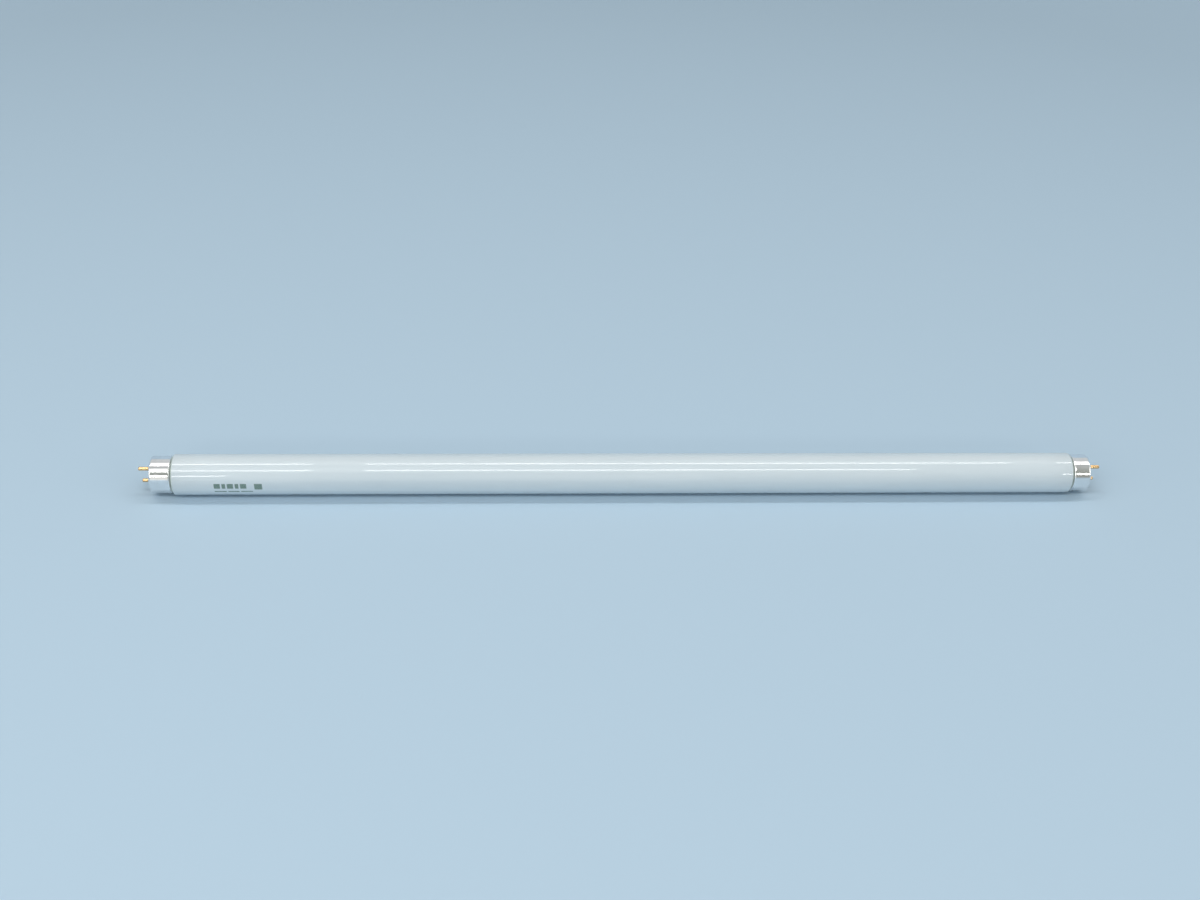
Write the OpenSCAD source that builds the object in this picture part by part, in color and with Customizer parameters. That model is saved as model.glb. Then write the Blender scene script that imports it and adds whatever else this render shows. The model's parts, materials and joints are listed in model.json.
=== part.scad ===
// Straight fluorescent tube with a two-pin cap on each end.
// Millimetres. X runs along the tube, Z is up, and the origin is at mid-length on the tube's axis.
// Each cap is drawn in its own frame first: z = 0 is the cap's face, +z points out past the pins,
// and x runs from the lower pin to the upper one.

/* [Lamp] */
// Length from cap face to cap face
face_length = 589.8; // [280:0.2:1520]
// Angle by which both pairs of pins lean out of the vertical, towards the front
pin_lean = 18; // [-90:1:90]

/* [Glass] */
// Outer diameter of the glass
glass_d = 25.4; // [24.8:0.1:26.4]
// Outer rounding where the glass draws in at its shoulder
shoulder_r = 1.2; // [0.6:0.1:1.9]
// Open line between the shoulder and the cap's mouth
joint_gap = 0.25; // [0.1:0.05:0.6]
// Depth of the glass's sealed rim below the cap's face
rim_depth = 6.9; // [6:0.1:7.4]
// Rounding of the sealed rim, half as thick as the rim
rim_r = 1; // [0.7:0.05:1.2]
// Depth of the hollow stem below the rim
stem_depth = 13; // [9:0.5:18]
// Diameter of the hollow stem at its closed end
stem_end_d = 8.8; // [7.6:0.1:9.6]
// Diameter of the sealed exhaust stub
exhaust_d = 3.8; // [3:0.1:4.4]
// Height of the stub's tip above the rim
exhaust_reach = 1.5; // [0:0.1:2.5]

/* [Cap shell] */
// Outer diameter of the shell
cap_d = 23.4; // [22.8:0.1:23.8]
// Length of the left shell from its face to its mouth
left_cap_length = 13.3; // [10.5:0.1:15]
// Length of the right shell, the shorter of the two
right_cap_length = 11.3; // [10.5:0.1:15]
// Thickness of the drawn sheet
cap_wall = 0.3; // [0.2:0.05:0.4]
// Outer rounding round the face
cap_edge_r = 1.5; // [1:0.1:2.4]
// Outer radius of the mouth where it is turned in
mouth_curl_r = 1.6; // [1:0.05:1.8]
// Width of the metal lip that shows round the face
face_lip = 3.1; // [2.8:0.05:3.3]

/* [Pin plate] */
// Thickness of the plate behind the lip
plate_t = 1.8; // [1.2:0.1:2.4]

/* [Pins] */
// Distance between the two pins' axes
pin_pitch = 12.7; // [12.5:0.05:12.9]
// Diameter of a pin
pin_d = 2.35; // [2.3:0.01:2.65]
// Length of a pin beyond the cap's face
pin_length = 7.1; // [6.7:0.05:7.6]
// Rounding of the pin's tip
pin_tip_r = 0.7; // [0.3:0.05:1]
// Diameter of the shank that passes through the plate
shank_d = 2; // [1.7:0.05:2.2]
// Diameter of the bead that stops the pin on the plate
bead_d = 2.8; // [2.7:0.05:3.3]
// Thickness of the bead
bead_t = 0.35; // [0.2:0.05:0.6]
// Diameter of the riveted head behind the plate
rivet_d = 4.2; // [3.6:0.1:4.8]
// Thickness of the riveted head
rivet_t = 0.8; // [0.4:0.05:1]
// Diameter of the bore that takes the lead wire
pin_bore_d = 1; // [0.8:0.05:1.3]
// Solid length at the pin's tip
pin_end_wall = 0.9; // [0.8:0.05:1.5]

/* [Lead wires] */
// Diameter of a lead wire
lead_d = 0.5; // [0.4:0.05:0.65]
// Radius of each bend, on the wire's centre line
lead_bend_r = 1.5; // [1:0.1:2]
// Slope of the stretch between the two bends
lead_slope = 45; // [40:1:60]
// Straight stretch between the riveted head and the first bend
lead_tail = 0.4; // [0.2:0.05:0.8]

/* [Fits] */
// Play round the plate, the pins and the cement
fit_gap = 0.05; // [0.02:0.01:0.1]
// Cement that shows between the neck and the cap's mouth
mouth_gap = 0.6; // [0.4:0.05:0.8]

/* [Hidden] */
$fn = 96;

// Sides of the lamp and of a pair of pins
left = -1;
right = 1;
upper = 1;
lower = -1;

// Length by which a cut runs past what it cuts
overrun = 1;

// Radii that follow from the diameters
glass_r = glass_d / 2;
cap_r = cap_d / 2;
pin_r = pin_d / 2;
shank_r = shank_d / 2;
exhaust_r = exhaust_d / 2;
stem_end_r = stem_end_d / 2;

// The shell's inside, its open mouth and the hole in its face
cap_in_r = cap_r - cap_wall;
mouth_r = cap_r - mouth_curl_r;
face_hole_r = cap_r - face_lip;

// The neck passes the mouth with room for the cement
neck_r = mouth_r - mouth_gap;
rim_in_r = neck_r - 2 * rim_r;

// Length of one side's shell, and the height of the glass's shoulder there
function cap_length(side) = side == right ? right_cap_length : left_cap_length;
function shoulder_z(side) = face_length / 2 - cap_length(side) - joint_gap;

// Heights along the glass, from mid-length
rim_z = face_length / 2 - rim_depth;
stem_z = rim_z - stem_depth;
exhaust_z = rim_z + exhaust_reach;
neck_fillet_r = min(joint_gap, glass_r - shoulder_r - neck_r);

// Heights in the cap's own frame
plate_back_z = -cap_wall - plate_t;
rivet_back_z = plate_back_z - rivet_t;
lead_end_z = pin_length - pin_end_wall;
lead_start_z = -rim_depth - stem_depth;
cement_top_z = -rim_depth - rim_r;

// The lead steps in from the pin's axis to the middle of the stem's closed end
lead_foot_x = (exhaust_r + stem_end_r) / 2;
lead_step = pin_pitch / 2 - lead_foot_x;
lead_bend_w = lead_bend_r * (1 - cos(lead_slope));
lead_bend_h = lead_bend_r * sin(lead_slope);
lead_slant = (lead_step - 2 * lead_bend_w) / sin(lead_slope);
lead_high_z = rivet_back_z - lead_tail;
lead_low_z = lead_high_z - 2 * lead_bend_h - lead_slant * cos(lead_slope);

// Half outline of a solid of revolution, from y = 0 up, with its top outer corner rounded
module round_top(r, h, corner_r) {
    square([r, h - corner_r]);
    square([r - corner_r, h]);
    translate([r - corner_r, h - corner_r])
        intersection() {
            circle(r = corner_r);
            square(corner_r);
        }
}

// Puts a shape that is drawn in the cap's frame on one end of the lamp
module at_end(side) {
    rotate([pin_lean, 0, 0])
        rotate([0, 0, side == right ? 0 : 180])
            translate([face_length / 2, 0, 0])
                rotate([0, 90, 0])
                    rotate([0, 0, 180])
                        children();
}

// The narrow neck with its full-round rim, and the fillet at its foot
module neck_outline(side) {
    square([neck_r, rim_z - rim_r]);
    translate([neck_r - rim_r, rim_z - rim_r]) circle(r = rim_r);
    translate([neck_r, shoulder_z(side)])
        difference() {
            square(neck_fillet_r);
            translate([neck_fillet_r, neck_fillet_r]) circle(r = neck_fillet_r);
        }
}

// The hollow of the stem, a funnel that opens at the rim
module stem_outline() {
    polygon([
        [0, stem_z],
        [stem_end_r, stem_z],
        [rim_in_r, rim_z - rim_r],
        [rim_in_r, rim_z + overrun],
        [0, rim_z + overrun]
    ]);
}

// The exhaust stub that stands in the funnel, sealed with a round tip
module exhaust_outline() {
    translate([0, stem_z - overrun]) square([exhaust_r, exhaust_z - exhaust_r - stem_z + overrun]);
    translate([0, exhaust_z - exhaust_r])
        intersection() {
            circle(r = exhaust_r);
            square(exhaust_r);
        }
}

module glass_end_outline(side) {
    round_top(glass_r, shoulder_z(side), shoulder_r);
    neck_outline(side);
}

// The sealed bulb: barrel, shoulders, necks and stem hollows in one blown piece
module glass_tube() {
    color("white")
        rotate([0, 90, 0])
            rotate_extrude() {
                difference() {
                    union() {
                        glass_end_outline(right);
                        mirror([0, 1]) glass_end_outline(left);
                    }
                    stem_outline();
                    mirror([0, 1]) stem_outline();
                }
                exhaust_outline();
                mirror([0, 1]) exhaust_outline();
            }
}

// Outline of a shell's outside, or with its wall taken off, of its inside
module shell_outline(length, wall) {
    reach = length / 2 - wall;
    translate([0, -length / 2]) {
        round_top(cap_r - wall, reach, cap_edge_r - wall);
        mirror([0, 1]) round_top(cap_r - wall, reach, mouth_curl_r - wall);
    }
}

// Drawn shell: rounded face with a hole for the plate, and a mouth that is turned in
module cap_shell(side) {
    length = cap_length(side);
    color("silver")
        rotate_extrude()
            difference() {
                shell_outline(length, 0);
                shell_outline(length, cap_wall);
                translate([0, -cap_wall - overrun]) square([face_hole_r, cap_wall + 2 * overrun]);
                translate([0, -length - overrun]) square([mouth_r, cap_wall + 2 * overrun]);
            }
}

// Insulating plate: its flange nests in the shell's rounded edge and its raised middle fills the face
module pin_plate() {
    color("saddlebrown")
        difference() {
            rotate_extrude() {
                intersection() {
                    translate([0, -cap_wall - rim_depth])
                        round_top(cap_in_r - fit_gap, rim_depth, cap_edge_r - cap_wall);
                    translate([0, plate_back_z]) square([cap_r, plate_t]);
                }
                translate([0, plate_back_z]) square([face_hole_r - fit_gap, plate_t + cap_wall]);
            }
            for (place = [upper, lower])
                translate([place * pin_pitch / 2, 0, plate_back_z - overrun])
                    cylinder(r = shank_r + fit_gap, h = plate_t + cap_wall + 2 * overrun);
        }
}

// Cement between the neck and the shell, down into the turned-in mouth
module cement_ring(side) {
    low_z = cap_wall - cap_length(side);
    height = cement_top_z - low_z;
    color("tan")
        rotate_extrude()
            difference() {
                translate([0, cement_top_z])
                    mirror([0, 1]) round_top(cap_in_r - fit_gap, height, mouth_curl_r - cap_wall);
                translate([0, low_z - overrun]) square([neck_r + fit_gap, height + 2 * overrun]);
            }
}

// Hollow brass pin, beaded in front of the plate, necked through it and riveted behind it
module pin(place) {
    color("gold")
        translate([place * pin_pitch / 2, 0, 0])
            rotate_extrude()
                difference() {
                    union() {
                        round_top(pin_r, pin_length, pin_tip_r);
                        square([bead_d / 2, bead_t]);
                        translate([0, rivet_back_z]) square([shank_r, bead_t - rivet_back_z]);
                        translate([0, rivet_back_z]) square([rivet_d / 2, rivet_t]);
                    }
                    translate([0, rivet_back_z - overrun])
                        square([pin_bore_d / 2, lead_end_z - rivet_back_z + overrun]);
                }
}

// One bend of a lead, from the wire that points up at the origin, turning towards +x
module lead_bend() {
    translate([lead_bend_r, 0, 0])
        rotate([90, 0, 0])
            rotate([0, 0, 180 - lead_slope])
                rotate_extrude(angle = lead_slope)
                    translate([lead_bend_r, 0]) circle(r = lead_d / 2);
}

// Lead wire: up out of the stem, out to the pin's axis and along the pin's bore
module lead(place) {
    wire_r = lead_d / 2;
    color("silver")
        rotate([0, 0, place == upper ? 0 : 180]) {
            translate([lead_foot_x, 0, lead_start_z])
                cylinder(r = wire_r, h = lead_low_z - lead_start_z);
            translate([lead_foot_x, 0, lead_low_z]) lead_bend();
            translate([lead_foot_x + lead_bend_w, 0, lead_low_z + lead_bend_h])
                rotate([0, lead_slope, 0]) cylinder(r = wire_r, h = lead_slant);
            translate([pin_pitch / 2, 0, lead_high_z]) rotate([0, 180, 0]) lead_bend();
            translate([pin_pitch / 2, 0, lead_high_z])
                cylinder(r = wire_r, h = lead_end_z - lead_high_z);
        }
}

glass_tube();
at_end(left) cap_shell(left);  // left_cap_shell
at_end(left) pin_plate();  // left_pin_plate
at_end(left) cement_ring(left);  // left_cement_ring
at_end(left) pin(upper);  // left_upper_pin
at_end(left) pin(lower);  // left_lower_pin
at_end(left) lead(upper);  // left_upper_lead
at_end(left) lead(lower);  // left_lower_lead
at_end(right) cap_shell(right);  // right_cap_shell
at_end(right) pin_plate();  // right_pin_plate
at_end(right) cement_ring(right);  // right_cement_ring
at_end(right) pin(upper);  // right_upper_pin
at_end(right) pin(lower);  // right_lower_pin
at_end(right) lead(upper);  // right_upper_lead
at_end(right) lead(lower);  // right_lower_lead
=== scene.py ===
import json
import math

import bpy
from mathutils import Matrix, Vector


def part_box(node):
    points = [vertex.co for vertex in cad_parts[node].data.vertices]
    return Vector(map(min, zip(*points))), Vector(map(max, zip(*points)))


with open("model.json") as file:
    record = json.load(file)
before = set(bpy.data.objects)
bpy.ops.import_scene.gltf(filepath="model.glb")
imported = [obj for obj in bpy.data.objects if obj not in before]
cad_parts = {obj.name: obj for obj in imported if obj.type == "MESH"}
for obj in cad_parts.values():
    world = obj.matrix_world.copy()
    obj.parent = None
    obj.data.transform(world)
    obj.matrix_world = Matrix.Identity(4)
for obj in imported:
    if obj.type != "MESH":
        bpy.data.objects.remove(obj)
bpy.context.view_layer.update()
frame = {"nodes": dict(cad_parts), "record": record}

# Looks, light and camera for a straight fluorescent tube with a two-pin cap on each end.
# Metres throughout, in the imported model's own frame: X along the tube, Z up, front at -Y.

scene = bpy.context.scene
glass_low, glass_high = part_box("glass_tube")
right_shell_low, right_shell_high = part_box("right_cap_shell")

# Sizes read from the frame
GLASS_R = glass_high.z
FLOOR_Z = glass_low.z
FACE_X = right_shell_high.x
LEFT_MOUTH_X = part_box("left_cap_shell")[1].x
RIGHT_MOUTH_X = right_shell_low.x

# Camera, as fitted to the photo
CAMERA_PLACE = Vector((-0.0682, -0.7278, 0.5686))
CAMERA_PAN = math.radians(3.985)
CAMERA_TILT = math.radians(37.014)
CAMERA_ROLL = math.radians(2.328)
SENSOR_W = 0.036
LENS = 0.04402
CLIP_NEAR = 0.01
CLIP_FAR = 100.0

# A camera's sensor and lens are set in millimetres
MM_PER_M = 1000

# Floor: side and colour
FLOOR_SIDE = 24.0
FLOOR_COLOUR = (0.46, 0.60, 0.72)

# Distances from the tube's middle between which the floor passes into an even backdrop
BACKDROP_REACH = (0.95, 2.2)

# Sky of the studio in front and overhead: height of the direction (its sine) and the colour there
FRONT_SKY = [
    (0.00, FLOOR_COLOUR),
    (0.14, (0.34, 0.35, 0.33)),
    (0.50, (0.36, 0.38, 0.35)),
    (0.74, (0.38, 0.40, 0.38)),
    (0.90, (0.50, 0.52, 0.51)),
    (1.00, (0.56, 0.57, 0.58)),
]

# Sky behind, where the floor's sheet sweeps up and ends
REAR_SKY = [
    (0.00, FLOOR_COLOUR),
    (0.50, FLOOR_COLOUR),
    (0.56, (0.60, 0.65, 0.67)),
    (0.76, (0.66, 0.68, 0.69)),
    (1.00, (0.56, 0.57, 0.58)),
]

# Reach of the direction's Y in which the front sky passes into the sky behind
SKY_SEAM = (-0.1, 0.1)

# Share of the sky's light that falls on dull surfaces
SKY_SHARE = 0.42

# Lamps: elevation in degrees from the front horizon over the top, distance from the tube,
# stretch along X, width across, and radiance
LAMPS = [
    ("rear_row_left", 96.0, 2.0, (-1.60, -0.473), 0.20, 7.6),
    ("rear_row_middle", 96.0, 2.0, (-0.371, 0.920), 0.20, 7.6),
    ("rear_row_right", 96.0, 2.0, (1.014, 1.90), 0.20, 7.6),
    ("front_row_left", 57.5, 2.0, (-1.60, -0.473), 0.20, 7.6),
    ("front_row_right", 57.5, 2.0, (-0.371, 0.725), 0.20, 7.6),
    ("left_fill", 27.5, 1.5, (-1.00, -0.54), 0.14, 9.0),
    ("right_fill", 27.5, 1.5, (0.838, 1.10), 0.10, 18.0),
    ("rear_glow", 102.5, 2.0, (-1.60, 1.90), 0.74, 0.65),
    ("front_glow", 62.0, 2.0, (-1.60, 0.30), 0.85, 0.65),
    ("low_glow", 15.0, 2.0, (-1.60, 0.30), 0.95, 0.50),
]
LAMP_COLOUR = (1.0, 0.99, 0.97)

# Soft panels beyond both ends: the right one's place, width and height, and radiance
PANEL_PLACE = (1.75, -0.80, 0.95)
PANEL_SIZE = (1.40, 1.40)
PANEL_RADIANCE = 1.2

# Zones of the glass, by the distance past a shell's mouth: where the coat thins, where the
# bare shoulder starts, its dark partly painted shade, and where it turns to face the end
THIN_ZONE = (-0.019, -0.001)
BARE_AND_SHADE_ZONE = (-0.0012, -0.0009)
FACING_ZONE = (-0.0004, -0.00027)

# Stretch of X, mid-tube, in which one end's tone of bare glass passes into the other's; the right
# end's darker tone is painted shade
BARE_SHADE_SWAP_ZONE = (-0.1, 0.1)

# Zone of a shell, by the distance past its mouth, where the rolled edge ends, and its roughness
CURL_ZONE = (0.0007, 0.0017)
CURL_ROUGHNESS = 0.32

# Zone of a pin, by the distance out from the cap's face, where its darker foot ends
FOOT_ZONE = (0.0, 0.0016)

# Printed mark: rows of plain bars. Each row has its band round the glass from the front level,
# its start along X and the lengths of its bars
INK_ROWS = [
    ((-0.0014, 0.0022), -0.2552, (0.0038, 0.0022, 0.0038, 0.0022, 0.0038)),
    ((-0.0022, 0.0022), -0.2306, (0.0048,)),
    ((-0.0046, -0.0036), -0.2552, (0.0074, 0.0068, 0.0072)),
]
INK_GAP = 0.0010
INK_SOFT = 0.00015
INK_COLOUR = (0.052, 0.135, 0.085)

# Ranges of a noise texture's value over which a tone or a roughness changes
EVEN_NOISE = (0.3, 0.7)
PATCHY_NOISE = (0.35, 0.7)
GRAIN_NOISE = (0.35, 0.65)
INK_NOISE = (0.3, 0.6)
SPECK_NOISE = (0.62, 0.72)


class Tree:
    """Short calls that build one node tree."""

    def __init__(self, tree):
        self.tree = tree
        tree.nodes.clear()

    def put(self, socket, value):
        """Links an output to a socket, or sets the socket's own value."""
        if isinstance(value, bpy.types.NodeSocket):
            self.tree.links.new(value, socket)
        elif socket.type == "RGBA":
            socket.default_value = (*value, 1.0)
        else:
            socket.default_value = value

    def add(self, kind, inputs, **settings):
        """A node with its settings made and its inputs linked or set."""
        node = self.tree.nodes.new("ShaderNode" + kind)
        for name, value in settings.items():
            setattr(node, name, value)
        for key, value in inputs.items():
            self.put(node.inputs[key], value)
        return node

    def place(self):
        """Position in the frame: every piece's object sits at the origin."""
        return self.add("TexCoord", {}).outputs["Object"]

    def parts(self, vector):
        """X, Y and Z of a vector."""
        return self.add("SeparateXYZ", {0: vector}).outputs

    def math(self, operation, a, b=0.0):
        return self.add("Math", {0: a, 1: b}, operation=operation).outputs[0]

    def span(self, value, source, target):
        """Maps one range to another, clamped at both ends."""
        inputs = {0: value, 1: source[0], 2: source[1], 3: target[0], 4: target[1]}
        return self.add("MapRange", inputs).outputs[0]

    def within(self, value, low, high, soft):
        """1 between two values and 0 outside them, with soft edges."""
        rise = self.span(value, (low - soft, low + soft), (0.0, 1.0))
        fall = self.span(value, (high - soft, high + soft), (1.0, 0.0))
        return self.math("MULTIPLY", rise, fall)

    def noise(self, vector, scale, detail=2.0, roughness=0.5):
        """Noise of one scale per metre, or of three, for X, Y and Z."""
        if isinstance(scale, tuple):
            inputs = {0: vector, 1: scale}
            vector = self.add("VectorMath", inputs, operation="MULTIPLY").outputs[0]
            scale = 1.0
        inputs = {"Vector": vector, "Scale": scale, "Detail": detail, "Roughness": roughness}
        return self.add("TexNoise", inputs).outputs[0]

    def mix(self, factor, a, b):
        """Colour a where the factor is 0 and colour b where it is 1."""
        node = self.add("Mix", {}, data_type="RGBA")
        self.put(node.inputs[0], factor)
        self.put(node.inputs[6], a)
        self.put(node.inputs[7], b)
        return node.outputs[2]

    def fade(self, value, source, a, b, share=1.0):
        """Passes from colour a to a share of colour b as a value crosses a range."""
        return self.mix(self.span(value, source, (0.0, share)), a, b)

    def bump(self, height, strength, distance, normal=None):
        """A normal that follows a height, on top of another normal where one is given."""
        node = self.add("Bump", {"Strength": strength, "Distance": distance, "Height": height})
        if normal:
            self.put(node.inputs["Normal"], normal)
        return node.outputs[0]

    def past_mouth(self, x):
        """Distance past the nearer shell's mouth, towards the end of the tube."""
        past_left = self.math("SUBTRACT", LEFT_MOUTH_X, x)
        return self.math("MAXIMUM", past_left, self.math("SUBTRACT", x, RIGHT_MOUTH_X))

    def seen(self):
        """1 on rays that show a backdrop, straight or in metal and glass, and 0 on the others."""
        light = self.add("LightPath", {}).outputs
        straight = self.math("MAXIMUM", light["Is Camera Ray"], light["Is Glossy Ray"])
        return self.math("MAXIMUM", straight, light["Is Transmission Ray"])

    def surface(self, inputs):
        """The material's one shader and its output."""
        shader = self.add("BsdfPrincipled", inputs)
        self.add("OutputMaterial", {0: shader.outputs[0]})


def new_material(name):
    """An empty material and the calls that fill its tree."""
    material = bpy.data.materials.new(name)
    material.use_nodes = True
    return material, Tree(material.node_tree)


def printed_mark(tree, x, around):
    """1 on the bars of the printed mark and 0 elsewhere."""
    ink = 0.0
    for band, start, lengths in INK_ROWS:
        in_band = tree.within(around, *band, INK_SOFT)
        for length in lengths:
            in_bar = tree.within(x, start, start + length, INK_SOFT)
            ink = tree.math("MAXIMUM", ink, tree.math("MULTIPLY", in_bar, in_band))
            start += length + INK_GAP
    return ink


def coated_glass():
    """Clear glossy glass over a white powder coat, with the printed bars on the front; the bare
    glass at the joints carries painted shade.
    """
    cloud_tones = (0.60, 0.685, 0.735), (0.64, 0.72, 0.765)
    grain_tone, grain_share = (0.55, 0.625, 0.67), 0.22
    thin_tone, thin_share = (0.515, 0.572, 0.60), 0.3
    # Bare glass, left end then right end: dark partly from the clear glass over the dark inside
    # and partly painted shade; the right end's darker tone is painted shade
    bare_tones_with_painted_shade = (0.43, 0.51, 0.46), (0.24, 0.31, 0.26)
    facing_tone, facing_share = (0.50, 0.56, 0.53), 0.75
    ink_shares = (0.62, 0.9)

    material, tree = new_material("coated_glass")
    place = tree.place()
    x, y, z = tree.parts(place)
    past_mouth = tree.past_mouth(x)
    cloud = tree.noise(place, (9.0, 55.0, 55.0), detail=3.0)
    grain = tree.noise(place, 2600.0)
    ripple = tree.noise(place, (22.0, 90.0, 90.0), detail=1.0)

    coat = tree.fade(cloud, EVEN_NOISE, *cloud_tones)
    coat = tree.fade(grain, GRAIN_NOISE, coat, grain_tone, grain_share)
    coat = tree.fade(past_mouth, THIN_ZONE, coat, thin_tone, thin_share)
    # Painted shade in the bare glass's tone at the joints, darker at the right end
    bare_with_painted_shade = tree.fade(x, BARE_SHADE_SWAP_ZONE, *bare_tones_with_painted_shade)
    bare_with_painted_shade = tree.fade(past_mouth, FACING_ZONE, bare_with_painted_shade, facing_tone, facing_share)
    coat = tree.fade(past_mouth, BARE_AND_SHADE_ZONE, coat, bare_with_painted_shade)

    front = tree.math("MULTIPLY", y, -1.0)
    around = tree.math("MULTIPLY", tree.math("ARCTAN2", z, front), GLASS_R)
    ink_cover = tree.span(grain, INK_NOISE, ink_shares)
    ink = tree.math("MULTIPLY", printed_mark(tree, x, around), ink_cover)
    tree.surface({
        "Base Color": tree.mix(ink, coat, INK_COLOUR),
        "Roughness": 0.55,
        "Specular IOR Level": 0.2,
        "Coat Weight": 1.0,
        "Coat Roughness": 0.025,
        "Coat IOR": 1.5,
        "Coat Normal": tree.bump(ripple, strength=0.03, distance=0.0006),
    })
    return material


def cap_metal():
    """Bright drawn aluminium: near mirror, with fine rings, an uneven sheet and duller mouths."""
    clean_tone, smudge_tone = (0.88, 0.885, 0.89), (0.80, 0.80, 0.80)
    smudge_roughness = (0.05, 0.10)
    ring_roughness = (0.0, 0.04)

    material, tree = new_material("cap_metal")
    place = tree.place()
    rings = tree.noise(place, (2600.0, 60.0, 60.0), detail=3.0)
    smudge = tree.noise(place, 210.0, detail=4.0, roughness=0.6)
    uneven = tree.noise(place, (60.0, 150.0, 150.0), detail=1.0)
    sheet = tree.bump(uneven, strength=0.05, distance=0.0005)

    sheet_roughness = tree.math(
        "ADD",
        tree.span(smudge, PATCHY_NOISE, smudge_roughness),
        tree.span(rings, EVEN_NOISE, ring_roughness),
    )
    past_mouth = tree.past_mouth(tree.parts(place)[0])
    curl_roughness = tree.span(past_mouth, CURL_ZONE, (CURL_ROUGHNESS, 0.0))
    tree.surface({
        "Base Color": tree.fade(smudge, PATCHY_NOISE, clean_tone, smudge_tone),
        "Metallic": 1.0,
        "Roughness": tree.math("MAXIMUM", sheet_roughness, curl_roughness),
        "Normal": tree.bump(rings, strength=0.012, distance=0.0001, normal=sheet),
    })
    return material


def pin_brass():
    """Bright brass with fine turning rings and a darker tone towards the plate."""
    clean_tone, blotch_tone = (0.76, 0.51, 0.26), (0.69, 0.45, 0.22)
    foot_tone, foot_share = (0.36, 0.23, 0.11), 0.45

    material, tree = new_material("pin_brass")
    place = tree.place()
    rings = tree.noise(place, (5200.0, 260.0, 260.0))
    blotch = tree.noise(place, 900.0, detail=3.0, roughness=0.6)
    out = tree.math("SUBTRACT", tree.math("ABSOLUTE", tree.parts(place)[0]), FACE_X)
    foot = tree.span(out, FOOT_ZONE, (foot_share, 0.0))
    brass = tree.fade(blotch, PATCHY_NOISE, clean_tone, blotch_tone)
    tree.surface({
        "Base Color": tree.mix(foot, brass, foot_tone),
        "Metallic": 1.0,
        "Roughness": tree.span(rings, EVEN_NOISE, (0.13, 0.18)),
        "Normal": tree.bump(rings, strength=0.01, distance=0.0001),
    })
    return material


def insulator():
    """Brown pressed board: fine fibres and a dull, slightly waxy face."""
    fibre_tones = (0.085, 0.036, 0.018), (0.145, 0.066, 0.033)
    speck_tone, speck_share = (0.25, 0.14, 0.08), 0.5

    material, tree = new_material("insulator")
    place = tree.place()
    fibre = tree.noise(place, (900.0, 520.0, 3000.0), detail=3.0, roughness=0.6)
    speck = tree.noise(place, 3400.0)
    board = tree.fade(fibre, EVEN_NOISE, *fibre_tones)
    tree.surface({
        "Base Color": tree.fade(speck, SPECK_NOISE, board, speck_tone, speck_share),
        "Roughness": tree.span(fibre, EVEN_NOISE, (0.48, 0.66)),
        "Normal": tree.bump(fibre, strength=0.25, distance=0.0001),
    })
    return material


def cement():
    """Baked cement: coarse grains, chalky and dull."""
    grain_tones = (0.30, 0.26, 0.21), (0.44, 0.39, 0.32)

    material, tree = new_material("cement")
    place = tree.place()
    grain = tree.noise(place, 1500.0, detail=5.0, roughness=0.7)
    cells = tree.add("TexVoronoi", {"Vector": place, "Scale": 1900.0}).outputs["Distance"]
    tree.surface({
        "Base Color": tree.fade(grain, EVEN_NOISE, *grain_tones),
        "Roughness": tree.span(grain, EVEN_NOISE, (0.8, 0.95)),
        "Normal": tree.bump(cells, strength=0.5, distance=0.0002),
    })
    return material


def lead_wire():
    """Bare drawn wire: die lines along it and a dull oxide tone."""
    oxide_tones = (0.36, 0.34, 0.31), (0.48, 0.46, 0.43)

    material, tree = new_material("lead_wire")
    place = tree.place()
    lines = tree.noise(place, (300.0, 6000.0, 6000.0))
    oxide = tree.noise(place, 700.0, detail=3.0)
    tree.surface({
        "Base Color": tree.fade(oxide, EVEN_NOISE, *oxide_tones),
        "Metallic": 1.0,
        "Roughness": tree.span(lines, EVEN_NOISE, (0.3, 0.46)),
        "Normal": tree.bump(lines, strength=0.15, distance=0.0001),
    })
    return material


def dress_nodes():
    """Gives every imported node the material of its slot."""
    makers = [coated_glass, cap_metal, pin_brass, insulator, cement, lead_wire]
    materials = {maker.__name__: maker() for maker in makers}
    for row in frame["record"]["subparts"]:
        node = frame["nodes"][row["node"]]
        for slot in node.material_slots:
            slot.material = materials[row["material_slot"]]


def floor_material():
    """A dull plain sheet that passes into an even backdrop far out."""
    material, tree = new_material("floor")
    near = tree.add("BsdfPrincipled", {
        "Base Color": FLOOR_COLOUR,
        "Roughness": 0.75,
        "Specular IOR Level": 0.2,
    })
    far = tree.add("Emission", {0: FLOOR_COLOUR})
    away = tree.add("VectorMath", {0: tree.place()}, operation="LENGTH").outputs["Value"]
    far_share = tree.span(away, BACKDROP_REACH, (0.0, 1.0))
    far_share = tree.math("MULTIPLY", tree.seen(), far_share)
    mixed = tree.add("MixShader", {0: far_share, 1: near.outputs[0], 2: far.outputs[0]})
    tree.add("OutputMaterial", {0: mixed.outputs[0]})
    return material


def make_floor():
    """One wide plain floor at the height of the glass's lowest line."""
    half = FLOOR_SIDE / 2
    quarters = [(-1, -1), (1, -1), (1, 1), (-1, 1)]
    corners = [(half * x, half * y, FLOOR_Z) for x, y in quarters]
    mesh = bpy.data.meshes.new("floor")
    mesh.from_pydata(corners, [], [(0, 1, 2, 3)])
    mesh.materials.append(floor_material())
    floor = bpy.data.objects.new("floor", mesh)
    scene.collection.objects.link(floor)


def sky_ramp(tree, height, sky):
    """Colours by the height of the direction."""
    ramp = tree.add("ValToRGB", {0: height})
    stops = ramp.color_ramp.elements
    while len(stops) < len(sky):
        stops.new(0.5)
    for stop, (position, colour) in zip(stops, sky):
        stop.position = position
        stop.color = (*colour, 1.0)
    return ramp.outputs[0]


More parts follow.
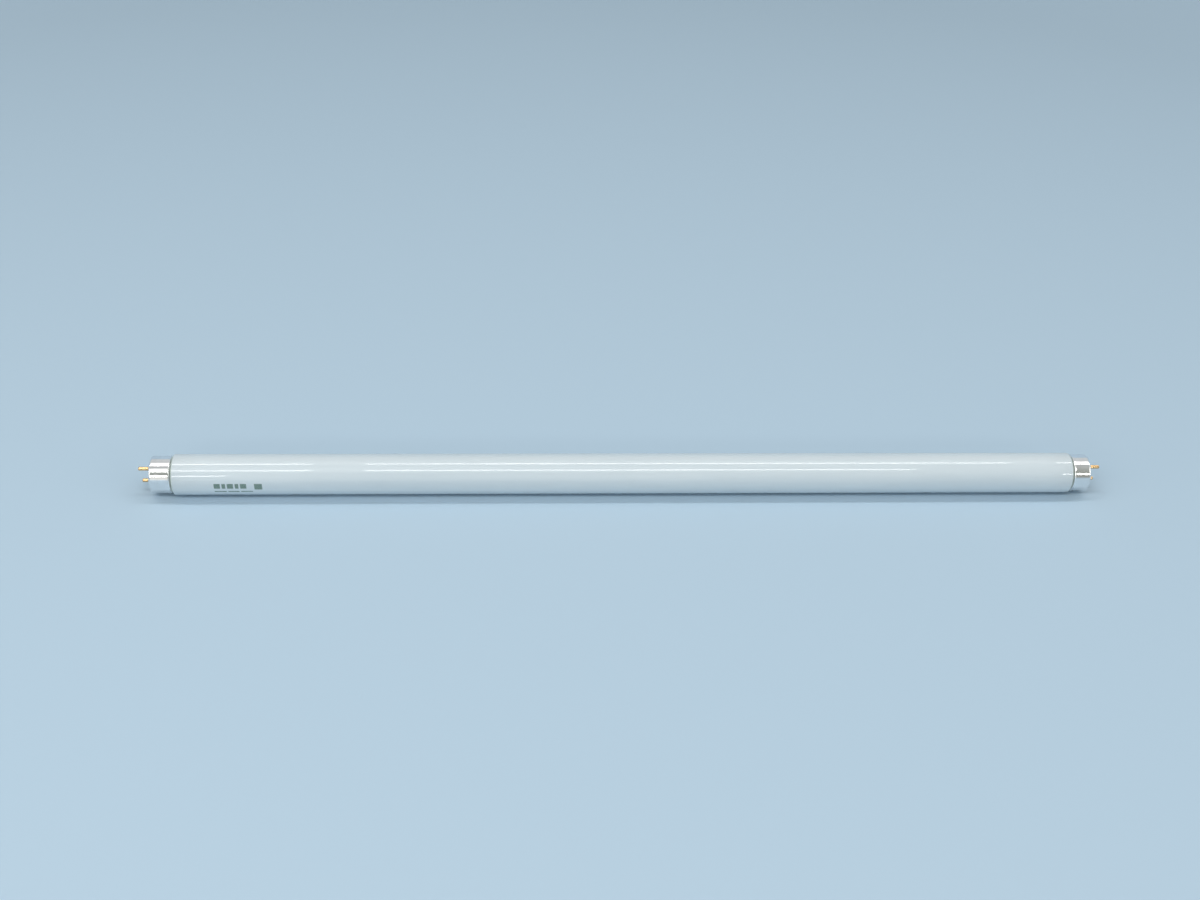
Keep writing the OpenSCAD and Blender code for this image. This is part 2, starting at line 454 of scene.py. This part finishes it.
def make_sky():
    """A plain studio dome: pale in front and overhead, with the floor's sheet behind."""
    world = bpy.data.worlds.new("studio")
    world.use_nodes = True
    tree = Tree(world.node_tree)
    direction = tree.parts(tree.add("TexCoord", {}).outputs["Generated"])
    behind = tree.span(direction[1], SKY_SEAM, (0.0, 1.0))
    front = sky_ramp(tree, direction[2], FRONT_SKY)
    rear = sky_ramp(tree, direction[2], REAR_SKY)
    strength = tree.span(tree.seen(), (0.0, 1.0), (SKY_SHARE, 1.0))
    background = tree.add("Background", {0: tree.mix(behind, front, rear), 1: strength})
    tree.add("OutputWorld", {0: background.outputs[0]})
    scene.world = world


def add_lamp(name, size, radiance):
    """A flat soft lamp that shines along its own -Z."""
    lamp = bpy.data.lights.new(name, "AREA")
    lamp.shape = "RECTANGLE"
    lamp.size, lamp.size_y = size
    lamp.energy = radiance * math.pi * size[0] * size[1]
    lamp.color = LAMP_COLOUR
    holder = bpy.data.objects.new(name, lamp)
    scene.collection.objects.link(holder)
    return holder


def make_row(name, elevation, distance, stretch, width, radiance):
    """A long lamp parallel to the tube, facing it."""
    angle = math.radians(elevation)
    lamp = add_lamp(name, (stretch[1] - stretch[0], width), radiance)
    lamp.location = (sum(stretch) / 2, -distance * math.cos(angle), distance * math.sin(angle))
    lamp.rotation_euler = (math.pi / 2 - angle, 0.0, 0.0)


def make_panel(name, side):
    """A soft panel beyond one end, facing the middle of the tube."""
    lamp = add_lamp(name, PANEL_SIZE, PANEL_RADIANCE)
    lamp.location = (side * PANEL_PLACE[0], *PANEL_PLACE[1:])
    lamp.rotation_euler = lamp.location.to_track_quat("Z", "Y").to_euler()


def make_camera():
    """The photo's camera: it stands in front of the tube and looks down on it."""
    ahead = Vector((
        math.sin(CAMERA_PAN) * math.cos(CAMERA_TILT),
        math.cos(CAMERA_PAN) * math.cos(CAMERA_TILT),
        -math.sin(CAMERA_TILT),
    ))
    level = Vector((math.cos(CAMERA_PAN), -math.sin(CAMERA_PAN), 0.0))
    right = Matrix.Rotation(-CAMERA_ROLL, 3, ahead) @ level
    up = right.cross(ahead)
    turn = Matrix((right, up, -ahead)).transposed().to_4x4()
    data = bpy.data.cameras.new("camera")
    data.sensor_width = SENSOR_W * MM_PER_M
    data.lens = LENS * MM_PER_M
    data.clip_start = CLIP_NEAR
    data.clip_end = CLIP_FAR
    camera = bpy.data.objects.new("camera", data)
    camera.matrix_world = Matrix.Translation(CAMERA_PLACE) @ turn
    scene.collection.objects.link(camera)
    scene.camera = camera


dress_nodes()
make_floor()
make_sky()
for lamp_row in LAMPS:
    make_row(*lamp_row)
make_panel("left_panel", -1)
make_panel("right_panel", 1)
make_camera()
scene.view_settings.view_transform = "Standard"
